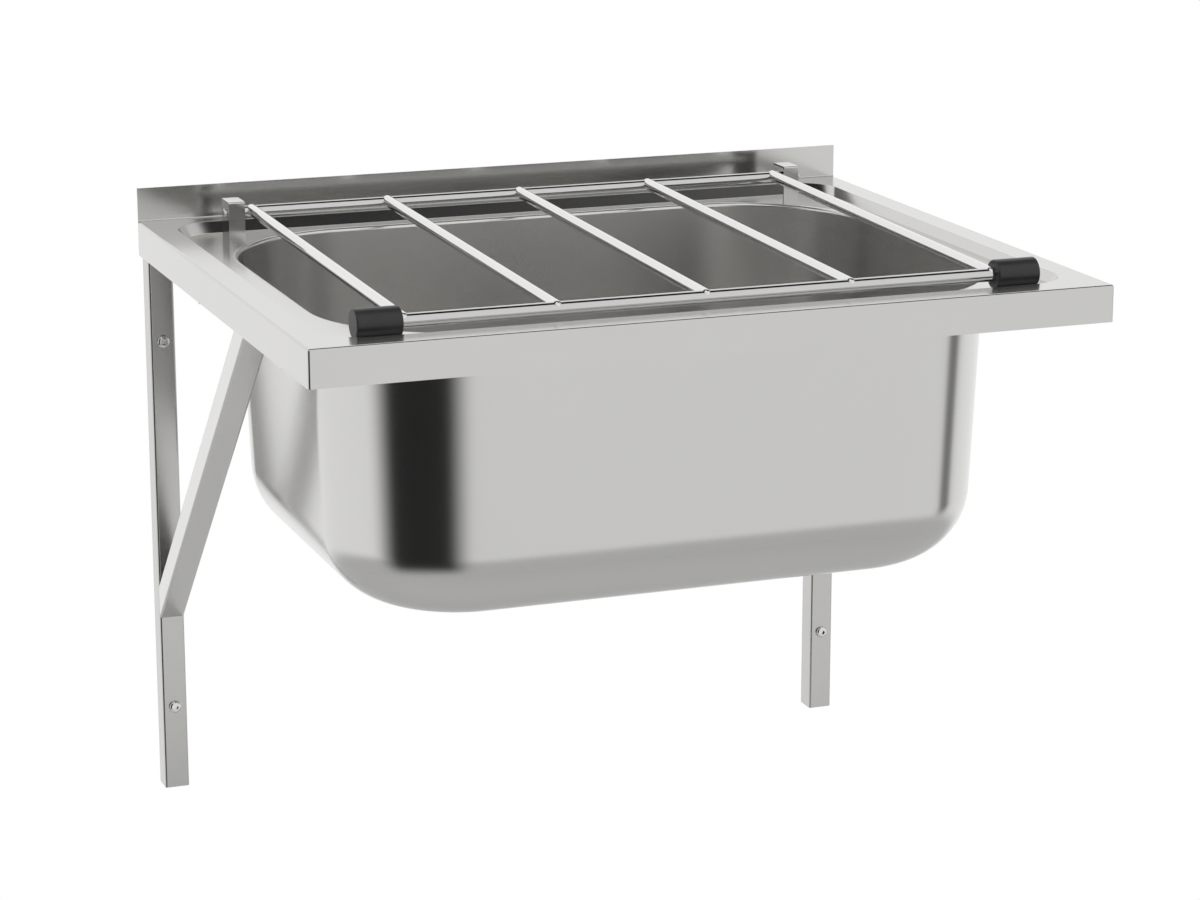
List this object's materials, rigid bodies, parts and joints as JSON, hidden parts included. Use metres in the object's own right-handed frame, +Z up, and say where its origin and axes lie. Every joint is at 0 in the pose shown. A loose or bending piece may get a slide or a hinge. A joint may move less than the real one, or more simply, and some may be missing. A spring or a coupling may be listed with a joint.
{
  "type": "wall-hung utility sink",
  "caption": "Wall-hung stainless utility sink with a deep rounded bowl, a hinged bucket grating with rubber buffers, an upstand at the wall and square-tube wall brackets.",
  "frame": {"origin": "on the wall plane, at the centre of the four wall screws", "axes": "+X to the right seen from the front, +Y into the wall, +Z up"},
  "size_m": [0.6, 0.51, 0.4933],
  "materials": {
    "satin_sheet": "satin brushed sheet",
    "bowl_steel": "satin drawn sheet",
    "tube_steel": "ground tube",
    "bright_bar": "polished",
    "fastener": "bright",
    "buffer_rubber": "smooth",
    "seal_rubber": "matte",
    "grey_plastic": "moulded",
    "black_plastic": "moulded"
  },
  "bodies": {
    "root": {"worktop": "satin_sheet", "bowl": "bowl_steel", "leg_left": "tube_steel", "arm_left": "tube_steel", "strut_left": "tube_steel", "leg_plug_left": "black_plastic", "arm_plug_left": "black_plastic", "hinge_lug_left": "satin_sheet", "leg_right": "tube_steel", "arm_right": "tube_steel", "strut_right": "tube_steel", "leg_plug_right": "black_plastic", "arm_plug_right": "black_plastic", "hinge_lug_right": "satin_sheet", "wall_screws": "fastener", "fixing_studs": "fastener", "fixing_spacers": "fastener", "fixing_washers": "fastener", "fixing_nuts": "fastener", "waste_seal": "seal_rubber", "waste_strainer": "bright_bar", "waste_gasket": "seal_rubber", "waste_body": "grey_plastic", "waste_screw": "fastener"},
    "grating": {"grating_cross_bar_1": "bright_bar", "grating_cross_bar_2": "bright_bar", "grating_cross_bar_3": "bright_bar", "grating_cross_bar_4": "bright_bar", "grating_cross_bar_5": "bright_bar", "grating_rear_bar": "bright_bar", "grating_front_bar": "bright_bar", "grating_buffer_left": "buffer_rubber", "grating_buffer_right": "buffer_rubber", "pivot_screws": "fastener"}
  },
  "joints": [
    {"name": "grating_hinge", "type": "hinge", "parent": "root", "child": "grating", "pos_m": [0.0015, -0.049, 0.257], "axis": [-1, 0, 0], "range_deg": [0, 95]}
  ]
}
